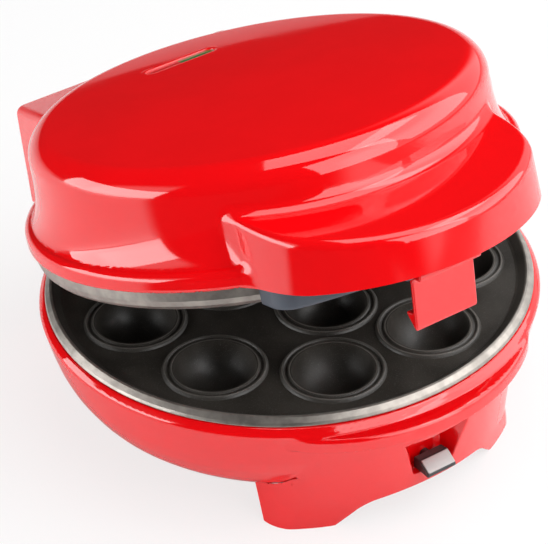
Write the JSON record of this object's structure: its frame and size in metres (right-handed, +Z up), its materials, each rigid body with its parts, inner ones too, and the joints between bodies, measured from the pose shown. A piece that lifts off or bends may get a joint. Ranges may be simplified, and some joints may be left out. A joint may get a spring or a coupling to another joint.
{
  "type": "cake pop maker",
  "caption": "Round countertop cake pop maker with hinged lid, dimpled nonstick plates, front shelf grip, hanging latch and plate release button",
  "frame": {"origin": "on the table plane, below the centre of the plates", "axes": "+Z up, the front with the latch faces -Y, +X to the right seen from the front, the hinge axis runs along X"},
  "size_m": [0.2496, 0.299, 0.1953],
  "materials": {
    "red_plastic": "polished glossy moulding",
    "plated_steel": "bright plating",
    "foot_rubber": "plain rubber",
    "nonstick_plate": "sparkling dark nonstick coating on cast aluminium, bare at the worn edges",
    "element_sheath": "heat-toned steel tube",
    "spring_steel": "plain rolled steel",
    "reflector_sheet": "bright rolled aluminium sheet",
    "black_plastic": "fine matt grain",
    "satin_trim": "satin silver coating",
    "slate_plastic": "fine matt grain",
    "red_lens": "clear red moulding",
    "green_lens": "clear green moulding",
    "lamp_holder": "plain pale board",
    "indicator_lamps": "clear glass bulb"
  },
  "bodies": {
    "base": {"base_housing": "red_plastic", "base_cover": "red_plastic", "base_screws": "plated_steel", "foot_pads": "foot_rubber", "cord_bush": "foot_rubber", "lower_plate": "nonstick_plate", "lower_element": "element_sheath", "lower_element_clips": "spring_steel", "lower_reflector": "reflector_sheet", "thermostat": "spring_steel", "thermal_fuse": "spring_steel", "button_guide": "black_plastic", "button_spring": "spring_steel"},
    "button": {"release_button": "black_plastic", "button_face": "satin_trim", "plate_catch": "spring_steel"},
    "lid": {"lid_housing": "red_plastic", "lid_frame": "slate_plastic", "lid_screws": "plated_steel", "upper_plate": "nonstick_plate", "upper_element": "element_sheath", "upper_element_clips": "spring_steel", "upper_reflector": "reflector_sheet", "shelf_liner": "slate_plastic", "liner_screws": "plated_steel", "red_lens": "red_lens", "green_lens": "green_lens", "lamp_holder": "lamp_holder", "indicator_lamps": "indicator_lamps", "hinge_pins": "plated_steel", "latch_pin": "plated_steel"},
    "latch": {"latch": "red_plastic"}
  },
  "joints": [
    {"name": "lid_hinge", "type": "hinge", "parent": "base", "child": "lid", "pos_m": [0, 0.1267, 0.065], "axis": [-1, 0, 0], "range_deg": [-15.44, 80]},
    {"name": "latch_hinge", "type": "hinge", "parent": "lid", "child": "latch", "pos_m": [0, -0.12538, 0.14884], "axis": [-1, 0, 0], "range_deg": [0, 40]},
    {"name": "button_slide", "type": "slide", "parent": "base", "child": "button", "axis": [0, 1, 0], "range_m": [0, 0.0025], "stiffness_N_per_m": 800, "springref_m": -0.002, "deforming": ["button_spring"]}
  ]
}
